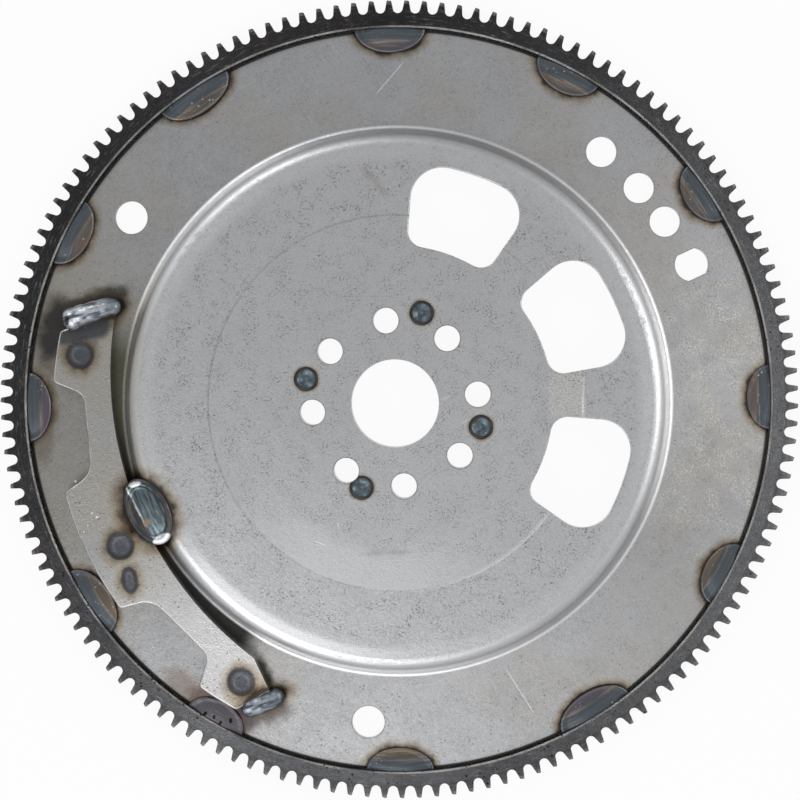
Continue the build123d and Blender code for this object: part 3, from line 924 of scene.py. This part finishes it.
def plugWeldGlass():
    look = plugGlass
    material, sockets = newMaterial("plugWeldGlass", 0.85)
    point, radius, angle = useGroup(onDisc)
    welds = useGroup(weldField, Point=point, Radius=radius, Angle=angle)
    inside = times(welds["Plug"], -1.0)
    mottle = noise(point, *look["mottle"])
    steel = blend(remap(mottle, 0.35, 0.65), *look["glass"])
    steel = blend(remap(inside, *look["rimFrom"]), steel, look["rim"])
    steel = blend(remap(inside, *look["craterFrom"]), steel, look["crater"])
    coat(sockets, steel, remap(mottle, *look["rough"]), mottle, *look["bump"])
    return material


# bright weld metal with a blue-black skin, dark towards its feet
beadSkin = {
    "mottle": (0.13, 3, 0.5),
    "flow": (0.09, 0.42),
    "flowNoise": (1.0, 3, 0.5),
    "blueFrom": (2.0, 12.0, 0.0, 0.75),
    "blue": (0.22, 0.265, 0.3, 1),
    "crater": (-148.0, 36.9, 80.0, 2.0, 1.1),
    "craterEdge": (0.5, -0.5, 0.0, 0.9),
    "craterColour": (0.02, 0.022, 0.026, 1),
    "foot": (0.05, 0.045, 0.05, 1),
    "strawClouds": ((0.13, 3), (0.58, 0.68, 0.0, 0.6)),
    "straw": (0.34, 0.24, 0.13, 1),
    "roughClouds": ((0.9, 2), (0.3, 0.7, 0.3, 0.46)),
    "bump": (0.35, 0.0012),
}


def beadMetal(name, pale, dark, dusk, foot, lie):
    # dusk: where the streaks turn from pale to dark; foot: heights between which it darkens
    look = beadSkin
    material, sockets = newMaterial(name, 1.0)
    point = useGroup(onDisc)["Point"]
    mottle = noise(point, *look["mottle"])
    oval = inOval(point, lie)
    alongPace, acrossPace = look["flow"]
    flow = joined(times(oval["Along"], alongPace), times(oval["Across"], acrossPace))
    streak = noise(flow, *look["flowNoise"])
    steel = blend(remap(streak, *dusk), pale, dark)
    steel = blend(remap(oval["Along"], *look["blueFrom"]), steel, look["blue"])
    crater = inOval(point, look["crater"])["Outside"]
    steel = blend(remap(crater, *look["craterEdge"]), steel, look["craterColour"])
    steel = blend(remap(parted(point)[2], *foot), steel, look["foot"])
    steel = blend(clouds(point, look["strawClouds"]), steel, look["straw"])
    rough = clouds(point, look["roughClouds"])
    coat(sockets, steel, rough, plus(streak, times(mottle, 0.5)), *look["bump"])
    return material


def floorPaper():
    # pale paper that glows where the camera or a reflection sees it, so it stays near white
    material, sockets = newMaterial("palePaper", 0.0)
    tree = material.node_tree
    sockets["Base Color"].default_value = (studio["paper"], studio["paper"], studio["paper"], 1)
    sockets["Roughness"].default_value = studio["paperRoughness"]
    glow = newNode("Emission")
    fill(glow, {"Color": (1, 1, 1, 1), "Strength": 1.0})
    path = newNode("LightPath")
    seen = calc("MAXIMUM", path.outputs["Is Camera Ray"], path.outputs["Is Glossy Ray"])
    mix = newNode("MixShader")
    feed(mix.inputs["Fac"], times(seen, studio["paperGlow"]))
    feed(mix.inputs[1], tree.nodes["Principled BSDF"].outputs[0])
    feed(mix.inputs[2], glow.outputs[0])
    feed(tree.nodes["Material Output"].inputs["Surface"], mix.outputs[0])
    return material


def clearSelection():
    bpy.ops.object.select_all(action="DESELECT")


def editMesh():
    bpy.ops.object.mode_set(mode="EDIT")
    bpy.ops.mesh.select_all(action="SELECT")


def addFloor():
    clearSelection()
    bpy.ops.mesh.primitive_plane_add(size=studio["floorSize"], location=(0, 0, -studio["floorDrop"]))
    floor = bpy.context.object
    floor.name = "floor"
    floor.data.materials.append(floorPaper())


def finishPiece(piece, name, material, *replaced):
    clearSelection()
    piece.select_set(True)
    bpy.context.view_layer.objects.active = piece
    bpy.ops.object.transform_apply(location=True, rotation=True, scale=True)
    editMesh()
    bpy.ops.mesh.remove_doubles(threshold=0.000001)
    bpy.ops.mesh.normals_make_consistent(inside=False)
    bpy.ops.object.mode_set(mode="OBJECT")
    bpy.ops.object.shade_smooth_by_angle(angle=math.radians(50))
    piece.name = name
    piece.data.name = name
    piece.data.materials.clear()
    piece.data.materials.append(material)
    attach(piece, "root")
    if replaced:
        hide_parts(*replaced)


def steppedDisc(sides, radius, steps):
    # a round face that steps inwards and up, still in edit mode
    clearSelection()
    bpy.ops.mesh.primitive_circle_add(vertices=sides, radius=radius, fill_type="NGON")
    editMesh()
    for inset, rise in steps:
        bpy.ops.mesh.inset(thickness=inset, depth=rise)
    bpy.ops.mesh.select_all(action="SELECT")
    return bpy.context.object


# one short weld of the ring: a half oval with a rolled rim and a crowned middle
ringBead = {
    "front": -0.0098,
    "foot": -0.0102,
    "radius": 0.0108,
    "sides": 56,
    "steps": (
        # inset, rise in metres, from the foot inwards
        (0.00012, 0.00055), (0.0004, 0.00045), (0.0005, 0.00008), (0.00055, -0.00022),
        (0.0011, 0.00022), (0.0018, 0.00055), (0.002, 0.00035), (0.0018, 0.0001),
    ),
    "cut": 0.00085,
}


def modelRingBead():
    drop = ringBead["foot"] - ringBead["front"]
    cut = (0, ringBead["cut"], 0)
    bead = steppedDisc(ringBead["sides"], ringBead["radius"], ringBead["steps"])
    bpy.ops.transform.resize(value=(marks["ringLength"] * 0.001 / ringBead["radius"], 1, 1))
    bpy.ops.mesh.bisect(plane_co=cut, plane_no=(0, 1, 0), clear_outer=True, use_fill=False)
    bpy.ops.mesh.select_all(action="SELECT")
    bpy.ops.mesh.region_to_loop()
    bpy.ops.mesh.extrude_region_move(TRANSFORM_OT_translate={"value": (0, 0, drop)})
    bpy.ops.transform.resize(value=(1, 1, 0), center_override=(0, 0, drop))
    bpy.ops.mesh.edge_face_add()
    bpy.ops.object.mode_set(mode="OBJECT")
    return bead


def addRingBeads(material):
    first = modelRingBead()
    away = marks["ringRadius"] * 0.001
    for index, (angle, size) in enumerate(marks["ring"], start=1):
        bead = first.copy()
        bead.data = first.data.copy()
        bpy.context.scene.collection.objects.link(bead)
        turn = math.radians(angle)
        bead.location = (away * math.cos(turn), away * math.sin(turn), ringBead["front"])
        bead.rotation_euler = (0, 0, turn - math.pi / 2)
        bead.scale = (size, size ** 0.5, 1)
        finishPiece(bead, "ringBead%02d" % index, material, "ring_weld_%02d" % index)
    bpy.data.objects.remove(first)


def meltBead(lumps, floorHeight, voxel, smooth):
    # molten lumps along a line, melted into one skin and cut flat at the floor
    clearSelection()
    balls = []
    for x, y, z, lumpLength, width, height, turn in lumps:
        place = (x * 0.001, y * 0.001, z * 0.001)
        bpy.ops.mesh.primitive_uv_sphere_add(segments=32, ring_count=20, radius=0.001, location=place)
        ball = bpy.context.object
        ball.scale = (lumpLength / 2, width / 2, height / 2)
        ball.rotation_euler = (0, 0, math.radians(turn))
        balls.append(ball)
    clearSelection()
    for ball in balls:
        ball.select_set(True)
    bpy.context.view_layer.objects.active = balls[0]
    bpy.ops.object.join()
    bead = bpy.context.object
    bpy.ops.object.transform_apply(location=True, rotation=True, scale=True)
    remesh = bead.modifiers.new("melt", "REMESH")
    remesh.mode = "VOXEL"
    remesh.voxel_size = voxel
    bpy.ops.object.modifier_apply(modifier="melt")
    soften = bead.modifiers.new("soften", "SMOOTH")
    soften.factor = 0.5
    soften.iterations = smooth
    bpy.ops.object.modifier_apply(modifier="soften")
    floor = floorHeight * 0.001
    editMesh()
    bpy.ops.mesh.bisect(plane_co=(0, 0, floor), plane_no=(0, 0, -1), clear_outer=True, use_fill=True)
    bpy.ops.object.mode_set(mode="OBJECT")
    return bead


# the middle bead is an oval lens with a thick rim, tilted down from the web to the weight
middleBead = {
    "height": -0.0025,
    "tilt": -11.0,
    "sides": 64,
    "steps": (
        # inset, rise in metres, from the edge inwards
        (0.0002, 0.0008), (0.0006, 0.00075), (0.0008, 0.0003), (0.0008, -0.0001), (0.00055, -0.00075),
        (0.0005, -0.0001), (0.0008, 0.0003), (0.0015, 0.00045), (0.0016, 0.0003), (0.0014, 0.0001),
    ),
    "skirt": 0.004,
    "skirtShare": 0.72,
    # its glass: dark outline, brown-grey rim, blue-green middle
    "outline": (0.022, 0.02, 0.021, 1),
    "rims": ((0.07, 0.076, 0.088, 1), (0.105, 0.092, 0.078, 1)),
    "glass": ((0.07, 0.095, 0.105, 1), (0.17, 0.215, 0.235, 1)),
    "flow": (0.12, 0.8),
    "innerFrom": (2.7, 3.3),
    "innerSide": (4.4, 3.4),
    # painted highlight line along the weight's edge: how far across it runs, and how far it strays
    "highlightLinePlace": (3.6, 0.8),
    "highlightLineEdge": (0.75, 0.25),
    "line": (0.72, 0.74, 0.75, 1),
    "grooveBand": (3.6, 4.2, 4.6, 5.2),
    "grooveSide": (-0.5, -3.0, 0.0, 0.7),
    "groove": (0.035, 0.04, 0.045, 1),
    # where the painted glints at both ends lie
    "head": (-117.6, -36.8, 15.0, 3.0, 1.1),
    "tail": (-105.4, -61.6, 28.0, 4.6, 2.2),
    "glintEdge": (0.5, -0.5, 0.0, 0.9),
    "glintColour": (0.84, 0.87, 0.88, 1),
    "strawSpot": (-112.3, -54.0, 30.0, 2.2, 1.4),
    "strawEdge": (0.8, -1.0, 0.0, 0.75),
    "straw": (0.3, 0.19, 0.09, 1),
    "outlineFrom": (1.0, 0.3),
    "rough": (0.3, 0.7, 0.3, 0.44),
    "bump": (0.3, 0.0008),
}


def modelMiddleBead():
    x, y, turn, halfLength, halfWidth = marks["beads"]["middle"]
    skirt, share = middleBead["skirt"], middleBead["skirtShare"]
    bead = steppedDisc(middleBead["sides"], halfWidth * 0.001, middleBead["steps"])
    bpy.ops.mesh.region_to_loop()
    bpy.ops.mesh.extrude_region_move(TRANSFORM_OT_translate={"value": (0, 0, -skirt)})
    bpy.ops.transform.resize(value=(share, share, 1), center_override=(0, 0, 0))
    bpy.ops.mesh.edge_face_add()
    bpy.ops.mesh.select_all(action="SELECT")
    bpy.ops.transform.resize(value=(halfLength / halfWidth, 1, 1), center_override=(0, 0, 0))
    bpy.ops.object.mode_set(mode="OBJECT")
    soft = bead.modifiers.new("soft", "SUBSURF")
    soft.levels = 1
    soft.render_levels = 1
    bpy.ops.object.modifier_apply(modifier="soft")
    turned = Matrix.Rotation(math.radians(turn), 4, "Z")
    tilted = Matrix.Rotation(math.radians(middleBead["tilt"]), 4, "X")
    bead.matrix_world = Matrix.Translation((x * 0.001, y * 0.001, middleBead["height"])) @ turned @ tilted
    return bead


def middleGlass():
    look = middleBead
    material, sockets = newMaterial("middleGlass", 0.9)
    point = useGroup(onDisc)["Point"]
    outside, along, across = inOval(point, marks["beads"]["middle"])
    inside = times(outside, -1.0)
    alongPace, acrossPace = look["flow"]
    streak = noise(joined(times(along, alongPace), times(across, acrossPace)), 1.0, 3)
    mottle = noise(point, 0.25, 3)
    steel = blend(remap(mottle, 0.4, 0.62), *look["rims"])
    glass = blend(remap(streak, 0.38, 0.62), *look["glass"])
    inner = times(remap(inside, *look["innerFrom"]), remap(across, *look["innerSide"]))
    steel = blend(inner, steel, glass)
    # a broken painted highlight along the weight's edge under the bead
    place, stray = look["highlightLinePlace"]
    line = remap(apart(across, plus(place, times(mottle, stray))), *look["highlightLineEdge"])
    line = times(line, remap(along, -6.5, -4.5), remap(inside, 0.6, 1.4),
                 remap(mottle, 0.3, 0.6, 0.35, 0.9))
    steel = blend(line, steel, look["line"])
    groove = times(within(inside, *look["grooveBand"]), remap(across, *look["grooveSide"]))
    steel = blend(groove, steel, look["groove"])
    # painted white glints at both ends
    head = inOval(point, look["head"])["Outside"]
    tail = inOval(point, look["tail"])["Outside"]
    glints = remap(calc("MINIMUM", head, tail), *look["glintEdge"])
    steel = blend(glints, steel, look["glintColour"])
    straw = inOval(point, look["strawSpot"])["Outside"]
    steel = blend(remap(straw, *look["strawEdge"]), steel, look["straw"])
    steel = blend(remap(inside, *look["outlineFrom"]), steel, look["outline"])
    rough = remap(mottle, *look["rough"])
    coat(sockets, steel, rough, plus(streak, times(mottle, 0.6)), *look["bump"])
    return material


# the top and bottom beads of the weight
weightBeads = {
    "top": {
        "metal": (
            "silverBead", (0.56, 0.58, 0.61, 1), (0.12, 0.14, 0.17, 1), (0.44, 0.6), (-3.4, -4.6, 0.0, 0.7),
        ),
        "lumps": (
            # x, y, z in mm, length, width, height, turn
            (-146.4, 37.8, -5.3, 9.4, 11.2, 9.0, 30), (-142.4, 39.4, -5.0, 14.0, 10.2, 9.2, 20),
            (-136.8, 41.2, -4.9, 16.0, 9.6, 9.0, 18), (-131.8, 42.8, -4.9, 13.0, 9.0, 8.4, 17),
            (-128.0, 43.3, -5.2, 8.0, 8.0, 7.2, 8),
        ),
    },
    "bottom": {
        "metal": (
            "blueBead", (0.4, 0.44, 0.49, 1), (0.1, 0.12, 0.145, 1), (0.42, 0.58), (-3.6, -5.0, 0.0, 0.75),
        ),
        "lumps": (
            (-66.2, -139.2, -6.3, 8.4, 8.8, 6.8, 20), (-62.2, -137.7, -5.9, 12.0, 9.2, 7.4, 20),
            (-57.8, -135.8, -5.9, 12.0, 9.0, 7.4, 24), (-54.6, -134.0, -6.3, 8.0, 8.2, 6.4, 28),
        ),
    },
}
beadMesh = {
    "foot": -9.6,
    "voxel": 0.00035,
    "smooth": 24,
}


def addWeightBeads():
    finishPiece(modelMiddleBead(), "middleBead", middleGlass(), "weight_weld_middle")
    for place, bead in weightBeads.items():
        metal = beadMetal(*bead["metal"], marks["beads"][place])
        skin = meltBead(bead["lumps"], beadMesh["foot"], beadMesh["voxel"], beadMesh["smooth"])
        finishPiece(skin, place + "Bead", metal, "weight_weld_" + place)


spatter = {
    # x, y on the weight's face in mm, size
    "places": (
        (-135.5, -52.4, 1.3), (-139.7, -55.7, 1.0), (-137.9, -50.2, 0.7),
        (-133.2, -56.3, 0.6), (-145.3, -35.9, 0.8), (-141.5, -58.6, 0.6),
    ),
    "face": -4.3,
    "sunk": 0.3,
    "voxel": 0.00016,
    "metal": ("spatterMetal", (0.75, 0.74, 0.72, 1), (0.3, 0.3, 0.3, 1), (0.5, 0.7), (-4.0, -4.4, 0.0, 0.7)),
    "lie": (-137.0, -53.0, 30.0, 3.0, 2.0),
}


def addSpatter():
    metal = beadMetal(*spatter["metal"], spatter["lie"])
    face = spatter["face"]
    for index, (x, y, size) in enumerate(spatter["places"]):
        lumps = (
            (x, y, face, size * 2, size * 1.7, size * 1.1, 40 * index),
            (x + size * 0.5, y + size * 0.3, face, size * 1.2, size, size * 0.7, 20),
        )
        drop = meltBead(lumps, face - spatter["sunk"], spatter["voxel"], 1)
        finishPiece(drop, "spatter%d" % (index + 1), metal)


addCamera()
addStudio()
addFloor()
bpy.context.scene.view_settings.view_transform = "Standard"
print("camera, lamps and floor stand")

finishes = {
    "ring_gear": ringSteel(),
    "balance_weight": weightSteel(),
    "drive_disc": pressedSteel(),
}
finishes["hub_reinforcement_plate"] = finishes["drive_disc"]
plugMetal = plugWeldGlass()
ringMetal = ringWeldGlass()
for name, node in nodes.items():
    node.data.materials.clear()
    node.data.materials.append(finishes.get(name, plugMetal if "plug" in name else ringMetal))
print("finishes set on", len(nodes), "nodes")

addRingBeads(ringMetal)
print("ring beads modelled")
addWeightBeads()
addSpatter()
print("weight beads and spatter modelled")
